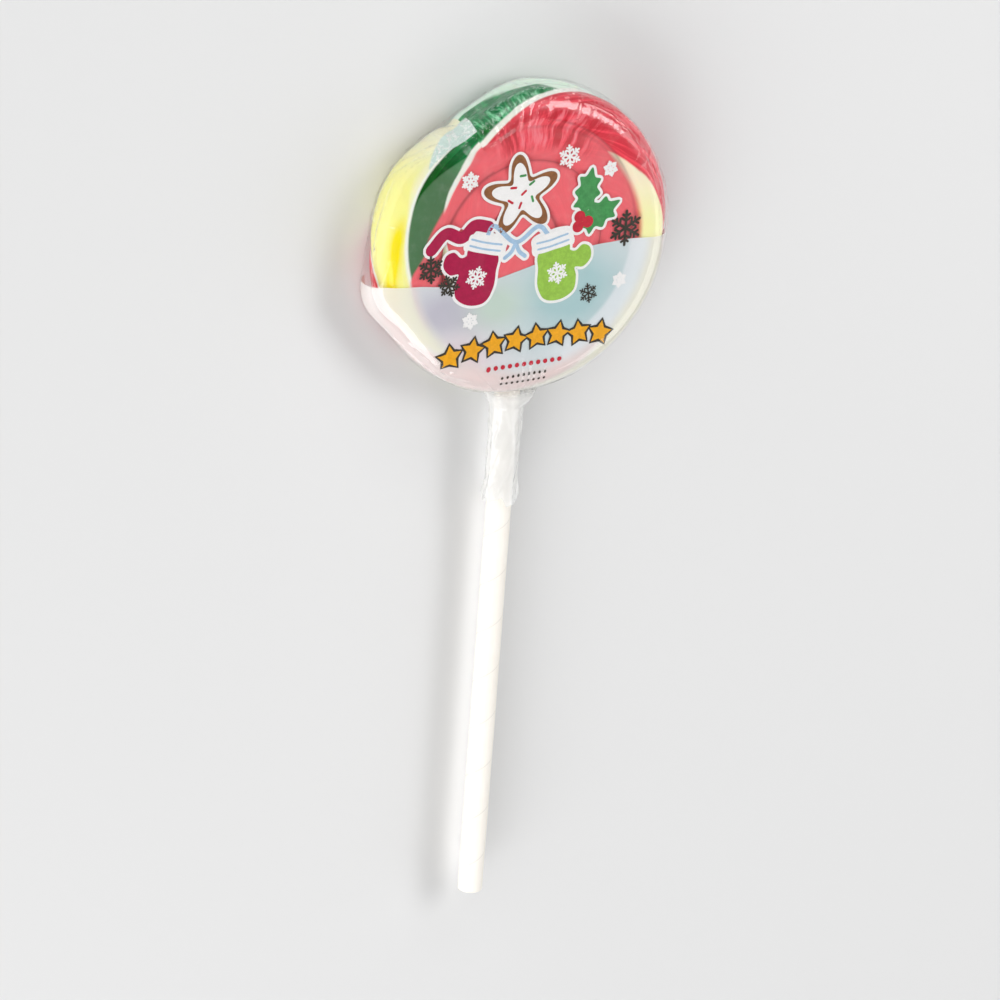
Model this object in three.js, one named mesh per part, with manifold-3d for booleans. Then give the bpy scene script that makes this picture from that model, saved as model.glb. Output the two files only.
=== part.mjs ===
// A wrapped swirl lollipop, lying on its back with the face up.
// Millimetres, +Z up. The origin is the centre of the film's flat back, on the surface that it lies on.
// +Y points to the top of the head, and the stick runs along -Y.
//
// candy    a rope of twisted strands, coiled clockwise inward from its loose end and pressed between two plates
// stick    rolled paper, pushed into the head from below
// wrapper  film drawn tight round the head and gathered into a skirt on the stick

import * as THREE from 'three';
import { mergeVertices } from 'three/addons/utils/BufferGeometryUtils.js';
import Module from 'manifold-3d';

const wasm = await Module();
wasm.setup();

// Sizes of the head
const HEAD_RADIUS = 27;
const HEAD_THICKNESS = 10;
const RIM_REACH = 4.6; // how far in from the outline the rounded rim begins
const RIM_FULLNESS = 2.3; // exponent of the rim's superellipse: 2 is an ellipse, more is squarer

// The coil. A turn angle is counted clockwise, in degrees, from the rope's loose end.
const END_ANGLE = 121; // where the loose end is, anticlockwise from +X
const COIL_ANGLE = 1000; // from the loose end to the middle of the head
const GROOVE_RADIUS = 20.8; // inner side of the rope at its loose end
const COIL_CURVE = 1.35;
const GROOVE_DEPTH = 0.55;
const GROOVE_WIDTH = 1.1;
const END_GROOVE_DEPTH = 1.0; // deeper round the loose end
const END_GROOVE_FADE = 50;
const END_NOTCH = { turn: -3, width: 1.9, depth: 0.8 }; // the cleft between the loose end and the turn behind it
const CENTRE = { from: 5, to: 1 }; // radii between which the groove runs out
const BACK_RELIEF = 0.6; // share of the front's relief that the back has

// The loose end: a blunt stub in a dip of the outline
const DIP_DEPTH = 2.0;
const DIP_FROM = 88;
const DIP_TO = 156;
const DIP_EASE = 30;
const STUB_RADIUS = 23;
const STUB_TURN = 5;
const STUB_RISE = 0.45;
const STUB_HALF = { along: 4.2, across: 2.8 };

// Each strand's first edge, as turn angles: where it leaves the groove on the front, crosses the rim, and
// enters the groove on the back. A bend over 1 bows the edge outward on the front.
const STRAND_EDGES = [
  { front: -10, rim: 60, back: 130, bend: 0.05 },
  { front: -2, rim: 58, back: 135, bend: 0.9 },
  { front: 72, rim: 146, back: 250, bend: 1 },
  { front: 140, rim: 222, back: 300, bend: 1 },
  { front: 215, rim: 290, back: 340, bend: 1 },
  { front: 185, rim: 419, back: 520, bend: 1 },
  { front: 283, rim: 403, back: 640, bend: 1.65 },
];
const VALLEY_DEPTH = 0.5; // between two strands, on the rim
const VALLEY_WIDTH = 1.7;
const VALLEY_ON_FACE = 0.25; // share of that depth left where the plates pressed the face flat

// The stick
const STICK_RADIUS = 4.37 / 2;
const STICK_LENGTH = 114.3;
const STICK_IN_HEAD = 20;
const STICK_CHAMFER = 0.3;
const STICK_SIDES = 28;

// The film. It is drawn thicker than real film, and stands off what it wraps.
const FILM = 0.3;
const GAP = 0.3;
const FILM_RELIEF = 0.5; // share of the candy's relief that the film follows, on both of its faces
const SKIRT_LENGTH = 20;
const SKIRT_PLEATS = 7;
const PLEAT_HEIGHT = 0.22;
const PLEAT_FOLD = 0.1; // the hollows between pleats are shallower than the pleats are high
const PLEAT_TWIST = 0.9; // radians over the skirt
const SKIRT_WIDTHS = [
  // half width and half height of the gathered film at stations below the head's centre
  { y: -22.5, wide: 8.0, high: 3.6 },
  { y: -25.0, wide: 6.2, high: 3.5 },
  { y: -27.2, wide: 4.3, high: 3.3 },
  { y: -29.5, wide: 3.3, high: 3.1 },
  { y: -32.0, wide: 2.95, high: 2.9 },
];
const SKIRT_NECK = 2.85; // radius of the gathered film along the rest of the skirt
const SKIRT_MOUTH = { radius: 3.1, flare: 4 }; // the open end, and over what length it widens to that
const LOOSE_FOLD = { angle: 197, reach: 12, size: 2.3, sharp: 3 }; // film that stands off the rim's lower left

// Fineness of the meshes
const CANDY_GRID = { around: 90, face: 15, rim: 11, back: 5 };
const FILM_GRID = { around: 72, face: 10, rim: 10, back: 2 };
const SKIRT_GRID = { around: 42, stations: 12 };
const SHORTEST_EDGE = 0.02; // anything finer that a cut leaves is drawn together

const MIDDLE_HEIGHT = FILM + GAP + HEAD_THICKNESS / 2; // the head's middle plane and the stick's axis
const HALF = HEAD_THICKNESS / 2;
const RIM_ARC = (Math.PI / 2) * Math.sqrt((RIM_REACH ** 2 + HALF ** 2) / 2);
const STICK_TOP = STICK_IN_HEAD - HEAD_RADIUS;
const SKIRT_END = -HEAD_RADIUS - SKIRT_LENGTH;
const THROAT_TOP = -HEAD_RADIUS / 2; // the film's throat is cut from here down, from inside the head

const radians = THREE.MathUtils.degToRad;
const bell = (x) => Math.exp(-x * x);

function plateau(value, from, to, ease) {
  const rise = THREE.MathUtils.smoothstep(value, from, from + ease);
  const fall = 1 - THREE.MathUtils.smoothstep(value, to - ease, to);
  return rise * fall;
}

// The head's outline, with the dip at the rope's loose end.
function outlineRadius(angle) {
  const turned = ((angle % 360) + 360) % 360;
  return HEAD_RADIUS - DIP_DEPTH * plateau(turned, DIP_FROM, DIP_TO, DIP_EASE);
}

// Radius of the spiral groove on the rope's inner side.
function grooveRadius(turn) {
  return GROOVE_RADIUS * (1 - (Math.max(turn, 0) / COIL_ANGLE) ** COIL_CURVE);
}

// Where a strand's edge lies: the turn angle at which it is `round` degrees round the rope, from the groove on the
// back (-180) over the rim (0) to the groove on the front (180).
function edgeTurn(edge, round) {
  if (round < 0) return edge.rim + (edge.back - edge.rim) * (-round / 180);
  return edge.front + (edge.rim - edge.front) * (1 - Math.min(round, 180) / 180) ** (1 / edge.bend);
}

// How deep the spiral groove is at a point of a face, all its laps taken together.
function grooveDepthAt(turn, radius) {
  let depth = 0;
  for (let lap = turn; lap < COIL_ANGLE; lap += 360) {
    const here = GROOVE_DEPTH + (END_GROOVE_DEPTH - GROOVE_DEPTH) * Math.exp(-lap / END_GROOVE_FADE);
    depth = Math.max(depth, here * bell((radius - grooveRadius(lap)) / GROOVE_WIDTH));
  }
  return depth * THREE.MathUtils.smoothstep(radius, CENTRE.to, CENTRE.from);
}

// How deep the cleft at the loose end is.
function notchDepthAt(turn, radius) {
  const along = radians(turn - END_NOTCH.turn) * radius;
  const outside = THREE.MathUtils.smoothstep(radius, GROOVE_RADIUS - END_NOTCH.width, GROOVE_RADIUS);
  return END_NOTCH.depth * outside * bell(along / END_NOTCH.width);
}

// The valleys between strands on the outer turn of the rope.
function valleyDepthAt(turn, radius, inward, strength) {
  const reach = RIM_ARC + outlineRadius(END_ANGLE - turn) - RIM_REACH - grooveRadius(turn);
  const round = (180 * inward) / reach;
  if (Math.abs(round) > 180) return 0;
  let depth = 0;
  for (const edge of STRAND_EDGES) {
    const off = turn - edgeTurn(edge, round);
    const slope = edgeTurn(edge, round + 2) - edgeTurn(edge, round - 2);
    const perTangent = 180 / (Math.PI * radius);
    const perInward = (slope / 4) * (180 / reach);
    const distance = Math.abs(off) / Math.hypot(perTangent, perInward);
    depth = Math.max(depth, bell(distance / VALLEY_WIDTH));
  }
  return VALLEY_DEPTH * strength * depth;
}

// The blunt end of the rope stands a little proud of the front.
function stubRiseAt(turn, radius) {
  const along = (radians(turn - STUB_TURN) * radius) / STUB_HALF.along;
  const across = (radius - STUB_RADIUS) / STUB_HALF.across;
  return STUB_RISE * bell(Math.hypot(along, across));
}

// A place on the head's profile: side 1 is the front and -1 the back, and share goes from 0 at the middle of the
// face to 1 where the rim begins. On the rim, lift is the angle above the middle plane.
function profileStations(grid) {
  const stations = [];
  for (let i = 1; i <= grid.face; i++) stations.push({ side: 1, share: i / grid.face });
  for (let i = 1; i < grid.rim; i++) stations.push({ lift: 90 - (180 * i) / grid.rim });
  for (let i = grid.back; i >= 1; i--) stations.push({ side: -1, share: i / grid.back });
  return stations;
}

// How far the film's loose fold stands off the rim, for a direction that reaches `out` of the way outward.
function looseFold(angle, out) {
  return LOOSE_FOLD.size * bell((angle - LOOSE_FOLD.angle) / LOOSE_FOLD.reach) * out ** LOOSE_FOLD.sharp;
}

// A point of the head's skin, grown outward by `grow`, with the given share of the relief. Only the film has the
// loose fold.
function headPoint(angle, station, { grow, relief, backRelief, fold }) {
  const turn = (((END_ANGLE - angle) % 360) + 360) % 360;
  const fromEnd = turn > 180 ? turn - 360 : turn;
  const flat = outlineRadius(angle) - RIM_REACH;
  let radius;
  let height;
  if (station.lift === undefined) {
    radius = flat * station.share;
    const inward = station.side * (RIM_ARC + flat - radius);
    const carved = Math.max(
      grooveDepthAt(turn, radius),
      notchDepthAt(fromEnd, radius),
      valleyDepthAt(turn, Math.max(radius, 1), inward, VALLEY_ON_FACE),
    );
    const share = station.side > 0 ? relief : backRelief;
    const rise = station.side > 0 ? stubRiseAt(fromEnd, radius) : 0;
    height = station.side * (HALF + grow + rise - share * carved);
  } else {
    const lift = radians(station.lift);
    const out = { r: Math.cos(lift), z: Math.sin(lift) };
    const power = 2 / RIM_FULLNESS;
    const side = Math.sign(out.z);
    const across = Math.abs(out.r) ** power;
    const up = Math.abs(out.z) ** power;
    const inward = (RIM_ARC * station.lift) / 90;
    const strength = VALLEY_ON_FACE + (1 - VALLEY_ON_FACE) * out.r;
    const carved = Math.max(
      valleyDepthAt(turn, HEAD_RADIUS, inward, strength),
      notchDepthAt(fromEnd, HEAD_RADIUS),
    );
    const grown = grow - carved * (station.lift > 0 ? relief : Math.max(backRelief, relief * out.r));
    radius = flat + (RIM_REACH + grown) * across + (fold ? looseFold(angle, out.r) : 0);
    const rise = side > 0 ? stubRiseAt(fromEnd, radius) : 0;
    height = side * (HALF + grown + rise) * up;
  }
  const a = radians(angle);
  return new THREE.Vector3(radius * Math.cos(a), radius * Math.sin(a), MIDDLE_HEIGHT + height);
}

// Joins rings of points into one closed skin. The first and last rings close on a middle point each.
function closedSkin(rings, first, last) {
  const around = rings[0].length;
  const points = [first, ...rings.flat(), last];
  const index = [];
  const at = (ring, i) => 1 + ring * around + (i % around);
  for (let i = 0; i < around; i++) {
    index.push(0, at(0, i), at(0, i + 1));
    for (let ring = 0; ring + 1 < rings.length; ring++) {
      index.push(at(ring, i), at(ring + 1, i), at(ring + 1, i + 1));
      index.push(at(ring, i), at(ring + 1, i + 1), at(ring, i + 1));
    }
    index.push(points.length - 1, at(rings.length - 1, i + 1), at(rings.length - 1, i));
  }
  const geometry = new THREE.BufferGeometry().setFromPoints(points);
  geometry.setIndex(index);
  return geometry;
}

// The head's shape as a closed skin, for the candy itself and for both faces of the film.
function headSkin(grid, form) {
  const rings = profileStations(grid).map((station) => {
    const ring = [];
    for (let i = 0; i < grid.around; i++) {
      ring.push(headPoint((360 * i) / grid.around, station, form));
    }
    return ring;
  });
  const middle = (height) => new THREE.Vector3(0, 0, MIDDLE_HEIGHT + height);
  return closedSkin(rings, middle(HALF + form.grow), middle(-HALF - form.grow));
}

// Half width and half height of the gathered film at a station below the head's centre.
function skirtSize(y) {
  const stations = [
    ...SKIRT_WIDTHS,
    { y: SKIRT_END + SKIRT_MOUTH.flare, wide: SKIRT_NECK, high: SKIRT_NECK },
    { y: SKIRT_END, wide: SKIRT_MOUTH.radius, high: SKIRT_MOUTH.radius },
  ];
  const next = Math.max(1, stations.findIndex((s) => s.y <= y + 1e-9));
  const [a, b] = [stations[next - 1], stations[next]];
  const share = THREE.MathUtils.smoothstep(-y, -a.y, -b.y);
  return {
    wide: a.wide + (b.wide - a.wide) * share,
    high: a.high + (b.high - a.high) * share,
  };
}

// The funnel under the head and the pleated skirt on the stick, outside.
function skirtSkin() {
  const top = SKIRT_WIDTHS[0].y;
  const rings = [];
  for (let s = 0; s <= SKIRT_GRID.stations; s++) {
    const share = s / SKIRT_GRID.stations;
    const y = top + (SKIRT_END - top) * share;
    const size = skirtSize(y);
    const ring = [];
    for (let i = 0; i < SKIRT_GRID.around; i++) {
      const a = (2 * Math.PI * i) / SKIRT_GRID.around;
      const pleat = PLEAT_HEIGHT * share * Math.cos(SKIRT_PLEATS * a + PLEAT_TWIST * share * SKIRT_PLEATS);
      const grown = Math.max(pleat, -PLEAT_FOLD);
      ring.push(
        new THREE.Vector3(
          (size.wide + grown) * Math.cos(a),
          y,
          MIDDLE_HEIGHT - (size.high + grown) * Math.sin(a),
        ),
      );
    }
    rings.push(ring);
  }
  return closedSkin(
    rings,
    new THREE.Vector3(0, top, MIDDLE_HEIGHT),
    new THREE.Vector3(0, SKIRT_END, MIDDLE_HEIGHT),
  );
}

// A round bar on the stick's axis, from the upper to the lower end, with the edge of each end cut back.
function bar(radius, upper, lower, chamfer = 0) {
  const length = upper - lower;
  const side = [
    [radius, chamfer],
    [radius, length - chamfer],
  ];
  if (chamfer > 0) {
    side.unshift([radius - chamfer, 0]);
    side.push([radius - chamfer, length]);
  }
  const profile = [[0, 0], ...side, [0, length]].map(([x, y]) => new THREE.Vector2(x, y));
  return new THREE.LatheGeometry(profile, STICK_SIDES).translate(0, lower, MIDDLE_HEIGHT);
}

// three.js geometry to a manifold-3d solid and back.
function toSolid(geometry) {
  const bare = geometry.clone();
  bare.deleteAttribute('normal');
  bare.deleteAttribute('uv');
  const merged = mergeVertices(bare, 1e-4);
  return new wasm.Manifold(
    new wasm.Mesh({
      numProp: 3,
      vertProperties: new Float32Array(merged.attributes.position.array),
      triVerts: new Uint32Array(merged.index.array),
    }),
  );
}

function toGeometry(solid) {
  const mesh = solid.getMesh();
  const geometry = new THREE.BufferGeometry();
  geometry.setAttribute('position', new THREE.BufferAttribute(mesh.vertProperties, 3));
  geometry.setIndex(withoutShortEdges(mesh));
  geometry.computeVertexNormals();
  return geometry;
}

// The triangles of a cut mesh, with both ends of each very short edge drawn into one.
function withoutShortEdges({ vertProperties, triVerts }) {
  const kept = Array.from({ length: vertProperties.length / 3 }, (_, i) => i);
  const root = (i) => (kept[i] === i ? i : root(kept[i]));
  const place = (i) => new THREE.Vector3().fromArray(vertProperties, 3 * i);
  for (let corner = 0; corner < triVerts.length; corner++) {
    const next = corner % 3 === 2 ? corner - 2 : corner + 1;
    const [a, b] = [root(triVerts[corner]), root(triVerts[next])];
    if (a !== b && place(a).distanceTo(place(b)) < SHORTEST_EDGE) kept[Math.max(a, b)] = Math.min(a, b);
  }
  const index = [];
  for (let corner = 0; corner < triVerts.length; corner += 3) {
    const [a, b, c] = [0, 1, 2].map((k) => root(triVerts[corner + k]));
    if (a !== b && b !== c && c !== a) index.push(a, b, c);
  }
  return index;
}

function candyGeometry() {
  const hole = bar(STICK_RADIUS + GAP, STICK_TOP + GAP, SKIRT_WIDTHS[0].y - HEAD_THICKNESS);
  const head = headSkin(CANDY_GRID, { grow: 0, relief: 1, backRelief: BACK_RELIEF, fold: false });
  return toGeometry(toSolid(head).subtract(toSolid(hole)));
}

function stickGeometry() {
  return bar(STICK_RADIUS, STICK_TOP, STICK_TOP - STICK_LENGTH, STICK_CHAMFER);
}

function wrapperGeometry() {
  const form = { relief: FILM_RELIEF, backRelief: 0, fold: true };
  const outside = toSolid(headSkin(FILM_GRID, { ...form, grow: GAP + FILM })).add(toSolid(skirtSkin()));
  const inside = toSolid(headSkin(FILM_GRID, { ...form, grow: GAP }));
  const throat = bar(STICK_RADIUS + GAP, THROAT_TOP, SKIRT_END - FILM);
  return toGeometry(outside.subtract(inside.add(toSolid(throat))));
}

function named(name, geometry, material) {
  const mesh = new THREE.Mesh(geometry, new THREE.MeshStandardMaterial(material));
  mesh.name = name;
  return mesh;
}

const lollipop = new THREE.Group();
lollipop.add(
  named('candy', candyGeometry(), { color: 0xd8303c, roughness: 0.25, metalness: 0 }),
  named('stick', stickGeometry(), { color: 0xfbf0e6, roughness: 0.8, metalness: 0 }),
  named('wrapper', wrapperGeometry(), {
    color: 0xf4f7f8,
    roughness: 0.08,
    metalness: 0,
    transparent: true,
    opacity: 0.35,
  }),
);

export default lollipop;
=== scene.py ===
import math

import bpy
import numpy as np
from mathutils import Matrix, Vector
from mathutils.geometry import delaunay_2d_cdt


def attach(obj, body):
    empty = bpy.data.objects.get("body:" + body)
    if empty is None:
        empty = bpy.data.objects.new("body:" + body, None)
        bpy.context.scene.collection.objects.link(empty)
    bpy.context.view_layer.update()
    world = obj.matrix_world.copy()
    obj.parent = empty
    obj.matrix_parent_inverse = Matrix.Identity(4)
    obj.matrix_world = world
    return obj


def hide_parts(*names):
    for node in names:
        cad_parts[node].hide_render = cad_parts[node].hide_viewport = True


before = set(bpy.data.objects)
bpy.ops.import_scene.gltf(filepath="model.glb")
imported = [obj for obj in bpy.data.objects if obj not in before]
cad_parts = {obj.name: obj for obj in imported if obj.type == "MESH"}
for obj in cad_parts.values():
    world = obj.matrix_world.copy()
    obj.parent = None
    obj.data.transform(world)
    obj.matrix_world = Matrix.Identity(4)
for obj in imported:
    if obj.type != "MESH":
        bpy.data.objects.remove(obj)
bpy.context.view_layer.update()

MM = 0.001

# ---- sizes, in millimetres and degrees
# The same named values as the solids have.
HEAD_RADIUS = 27
HALF = 5
RIM_REACH = 4.6
RIM_POWER = 2 / 2.3
END_ANGLE = 121
COIL_ANGLE = 1000
GROOVE_RADIUS = 20.8
COIL_CURVE = 1.35
GROOVE_DEPTH = 0.55
GROOVE_WIDTH = 1.1
END_GROOVE_DEPTH = 1.0
END_GROOVE_FADE = 50
NOTCH_TURN, NOTCH_WIDTH, NOTCH_DEPTH = -3, 1.9, 0.8
CENTRE_FROM, CENTRE_TO = 5, 1
BACK_RELIEF = 0.6
DIP_DEPTH, DIP_FROM, DIP_TO, DIP_EASE = 2.0, 88, 156, 30
STUB_RADIUS, STUB_TURN, STUB_RISE = 23, 5, 0.45
STUB_ALONG, STUB_ACROSS = 4.2, 2.8
VALLEY_DEPTH, VALLEY_WIDTH, VALLEY_ON_FACE = 0.5, 1.7, 0.25
STICK_RADIUS = 4.37 / 2
STICK_LENGTH = 114.3
STICK_TOP = -7
SKIRT_END = -47
FILM = 0.3
GAP = 0.3
MIDDLE = FILM + GAP + HALF
RIM_ARC = (math.pi / 2) * math.sqrt((RIM_REACH**2 + HALF**2) / 2)

# Strand edges on the outer turn: turn angle on the front, at the rim and on the back, and the bend
EDGES = [
    (-10, 60, 130, 0.05),
    (-2, 58, 135, 0.9),
    (72, 146, 250, 1),
    (140, 222, 300, 1),
    (215, 290, 340, 1),
    (185, 419, 520, 1),
    (283, 403, 640, 1.65),
]
# The first edge is relief only. The colour after each of the others, and how wide a white thread lies on it
EDGE_COLOURS = ["red", "cream", "red", "yellow", "green", "red"]
EDGE_THREADS = [1.0, 0, 0.8, 0.7, 0.45, 0.95]
GREEN_AFTER_YELLOW = 5  # the edge where the yellow strand ends
# The inner turns: (turn angle at the outer side, colour that begins there, white thread)
INNER_EDGES = [
    (566, "green", 0.8),
    (594, "red", 0.9),
    (652, "yellow", 0.5),
    (670, "red", 0.7),
    (905, "green", 0.7),
    (930, "yellow", 0.5),
    (948, "red", 0.8),
]
INNER_SHIFT = -70  # how far such an edge turns across the rope
# Streaks are drawn by the distance past a strand's edge, with a step from each strand to the next
STRAND_STEP, INNER_STEP = 9.0, 100
STREAK_STRETCH = 0.012  # how far a streak's grain goes along its strand

COLOURS = {  # linear
    "red": (0.94, 0.078, 0.115),
    "green": (0.002, 0.125, 0.007),
    "yellow": (0.98, 0.93, 0.31),
    "cream": (1.0, 0.96, 0.48),
    "white": (0.95, 0.95, 0.86),
}
TOP_GREEN = (0.008, 0.35, 0.095)
DEEP_GREEN = (0.004, 0.19, 0.016)
MINT_AND_GLINT = (0.22, 0.67, 0.37)
MINT_WHITE = (0.78, 0.96, 0.80)
DARK_RED = (0.55, 0.02, 0.035)
PINK_HIGHLIGHT = (0.98, 0.28, 0.33)
DEEP_YELLOW = (0.98, 0.80, 0.01)
PALE_CREAM_AND_SHEEN = (0.96, 0.93, 0.66)
PEACH = (1.0, 0.89, 0.66)
MILK_AND_REFLECTION = (0.60, 0.62, 0.58)
STUB_SHADE, STUB_LIGHT = (0.66, 0.80, 0.74), (0.95, 0.98, 0.95)
# The milky, matt zone that the plates pressed is a disc of its own, a little off the middle; its milky
# paleness is partly a painted reflection of the light on the flat face
PRESSED_AT, PRESSED_RADIUS = (-2.0, 0.1), 22.1
# One fold of film stands off the rim
LOOSE_ANGLE, LOOSE_REACH, LOOSE_SIZE, LOOSE_SHARP = 197, 12, 2.3, 3


# ---- formulas for arrays and for node trees alike
def add_node(tree, kind, inputs, **settings):
    """A new node. Each input is a field, a node's first output, a socket or a plain value."""
    made = tree.nodes.new("ShaderNode" + kind)
    for key, value in settings.items():
        setattr(made, key, value)
    for key, value in inputs.items():
        if isinstance(value, Field):
            value = value.socket
        elif isinstance(value, bpy.types.Node):
            value = value.outputs[0]
        if isinstance(value, bpy.types.NodeSocket):
            tree.links.new(value, made.inputs[key])
        else:
            made.inputs[key].default_value = value
    return made


class Field:
    """A number that varies over a surface: formulas on it become Math nodes."""

    def __init__(self, socket):
        self.socket, self.tree = socket, socket.id_data

    def math(self, operation, *values):
        made = add_node(self.tree, "Math", dict(enumerate(values)), operation=operation)
        return Field(made.outputs[0])

    def __neg__(self):
        return self.math("MULTIPLY", self, -1.0)


def operator(operation, swapped):
    def call(field, other):
        return field.math(operation, *((other, field) if swapped else (field, other)))
    return call


OPERATORS = {"add": "ADD", "sub": "SUBTRACT", "mul": "MULTIPLY", "truediv": "DIVIDE", "pow": "POWER"}
for python_name, node_name in OPERATORS.items():
    setattr(Field, f"__{python_name}__", operator(node_name, False))
    setattr(Field, f"__r{python_name}__", operator(node_name, True))


def either(name, numpy_function):
    def call(*values):
        for value in values:
            if isinstance(value, Field):
                return value.math(name, *values)
        return numpy_function(*values)
    return call


larger = either("MAXIMUM", np.maximum)
smaller = either("MINIMUM", np.minimum)
size_of = either("ABSOLUTE", np.abs)
root = either("SQRT", np.sqrt)
exp = either("EXPONENT", np.exp)
arctan2 = either("ARCTAN2", np.arctan2)
above = either("GREATER_THAN", lambda a, b: np.where(np.asarray(a) > b, 1.0, 0.0))
wrapped = either("FLOORED_MODULO", np.mod)


def smooth(x, low, high):
    """0 below low, 1 above high, and a smooth step between."""
    if isinstance(x, Field):
        inputs = {"Value": x, "From Min": low, "From Max": high}
        made = add_node(x.tree, "MapRange", inputs, interpolation_type="SMOOTHSTEP")
        return Field(made.outputs["Result"])
    t = np.clip((x - low) / (high - low), 0, 1)
    return t * t * (3 - 2 * t)


def window(x, rise_from, rise_to, fall_from, fall_to):
    return smooth(x, rise_from, rise_to) * (1 - smooth(x, fall_from, fall_to))


def bell(x):
    return exp(-(x * x))


def length(x, y):
    return root(x * x + y * y)


def mix(a, b, share):
    return a + (b - a) * share


def outline_radius(angle):
    return HEAD_RADIUS - DIP_DEPTH * window(angle, DIP_FROM, DIP_FROM + DIP_EASE, DIP_TO - DIP_EASE, DIP_TO)


def groove_radius(turn):
    return GROOVE_RADIUS * (1 - (larger(turn, 0.0) / COIL_ANGLE) ** COIL_CURVE)


def edge_turn(edge, around):
    """Where a strand's edge lies, `around` degrees round the rope: 0 is the rim, 180 the front groove."""
    front, rim, back, bend = edge
    share = smaller(larger(around, 0.0) / 180, 0.9999)
    on_front = front + (rim - front) * (1 - share) ** (1 / bend)
    on_back = rim + (back - rim) * (larger(-around, 0.0) / 180)
    at_back = above(-around, 0.0)
    return on_front * (1 - at_back) + on_back * at_back


def edge_distance(edge, turn, around, radius, reach):
    """Signed distance from a strand's edge along the skin, about right close to it, positive past it."""
    slope = (edge_turn(edge, around + 2) - edge_turn(edge, around - 2)) / 4
    per_tangent = 180 / math.pi / larger(radius, 1.0)
    per_inward = slope * (180 / reach)
    return (turn - edge_turn(edge, around)) / length(per_tangent, per_inward)


def groove_depth(turn, radius):
    depth = 0.0
    for lap in range(3):
        here = turn + 360 * lap
        deep = GROOVE_DEPTH + (END_GROOVE_DEPTH - GROOVE_DEPTH) * exp(-here / END_GROOVE_FADE)
        real = above(COIL_ANGLE - here, 0.0)
        depth = larger(depth, real * deep * bell((radius - groove_radius(here)) / GROOVE_WIDTH))
    return depth * smooth(radius, CENTRE_TO, CENTRE_FROM)


def notch_depth(from_end, radius):
    along = (from_end - NOTCH_TURN) * (math.pi / 180) * radius
    outside = smooth(radius, GROOVE_RADIUS - NOTCH_WIDTH, GROOVE_RADIUS)
    return NOTCH_DEPTH * outside * bell(along / NOTCH_WIDTH)


def valley_depth(turn, angle, radius, inward, strength):
    reach = RIM_ARC + outline_radius(angle) - RIM_REACH - groove_radius(turn)
    around = 180 * inward / reach
    depth = 0.0
    for edge in EDGES:
        depth = larger(depth, bell(edge_distance(edge, turn, around, radius, reach) / VALLEY_WIDTH))
    return VALLEY_DEPTH * strength * depth * above(180.0 - size_of(around), 0.0)


def stub_rise(from_end, radius):
    along = (from_end - STUB_TURN) * (math.pi / 180) * radius / STUB_ALONG
    across = (radius - STUB_RADIUS) / STUB_ACROSS
    return STUB_RISE * bell(length(along, across))


def turn_of(angle):
    return wrapped(END_ANGLE - angle, 360.0)


def from_end_of(turn):
    """Degrees from the rope's loose end, negative before it."""
    return turn - 360 * above(turn, 180.0)


def loose_fold(angle):
    return bell(((angle - LOOSE_ANGLE + 180) % 360 - 180) / LOOSE_REACH)


def face_height(angle, radius, grow, relief, side=1):
    """Height above the middle plane of the flat part of the head's skin."""
    turn = turn_of(angle)
    from_end = from_end_of(turn)
    flat = outline_radius(angle) - RIM_REACH
    inward = side * (RIM_ARC + flat - radius)
    carved = np.maximum(groove_depth(turn, radius), notch_depth(from_end, radius))
    carved = np.maximum(carved, valley_depth(turn, angle, radius, inward, VALLEY_ON_FACE))
    rise = stub_rise(from_end, radius) if side > 0 else 0
    return side * (HALF + grow + rise - relief * carved)


def head_grid(around, face, rim, back):
    """Stations of a fine grid: shares of the flat radius on front and back, lifts in degrees on the rim."""
    front_share = (np.arange(1, face + 1) / face) ** 0.8
    lifts = 90 - 180 * np.arange(1, rim) / rim
    back_share = ((np.arange(back, 0, -1)) / back) ** 0.8
    share = np.concatenate([front_share, np.full(rim - 1, np.nan), back_share])[:, None]
    lift = np.concatenate([np.full(face, np.nan), lifts, np.full(back, np.nan)])[:, None]
    side = np.concatenate([np.ones(face), np.sign(lifts), -np.ones(back)])[:, None]
    angle = np.linspace(0, 360, around, endpoint=False)[None, :]
    return share, lift, side, angle


def head_distance(grid):
    """Distance along the profile from the rim's middle, positive to the front, for each point of a grid."""
    share, lift, side, angle = grid
    flat = outline_radius(angle) - RIM_REACH
    on_face = side * (RIM_ARC + flat * (1 - share))
    return np.where(np.isnan(share), RIM_ARC * np.nan_to_num(lift) / 90 + 0 * angle, on_face)


def rim_skin(angle, lift, grow, relief, back_relief, loose):
    """Radius and height of the rim's skin, by the lift from its middle: 90 at the front, -90 at the back."""
    turn = turn_of(angle)
    from_end = from_end_of(turn)
    lifted = np.radians(lift)
    out = np.cos(lifted)
    strength = VALLEY_ON_FACE + (1 - VALLEY_ON_FACE) * out
    carved = np.maximum(
        valley_depth(turn, angle, HEAD_RADIUS, RIM_ARC * lift / 90 + 0 * angle, strength),
        notch_depth(from_end, HEAD_RADIUS),
    )
    grown = grow - carved * np.where(lift > 0, relief, np.maximum(back_relief, relief * out))
    radius = outline_radius(angle) - RIM_REACH + (RIM_REACH + grown) * out**RIM_POWER
    radius = radius + loose * loose_fold(angle) * out**LOOSE_SHARP
    rise = np.where(lift > 0, stub_rise(from_end, radius), 0)
    return radius, np.sign(lift) * (HALF + grown + rise) * np.abs(np.sin(lifted)) ** RIM_POWER


def around_axis(angle, radius, height):
    a = np.radians(angle)
    return np.stack([radius * np.cos(a), radius * np.sin(a), MIDDLE + height], axis=-1)


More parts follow.
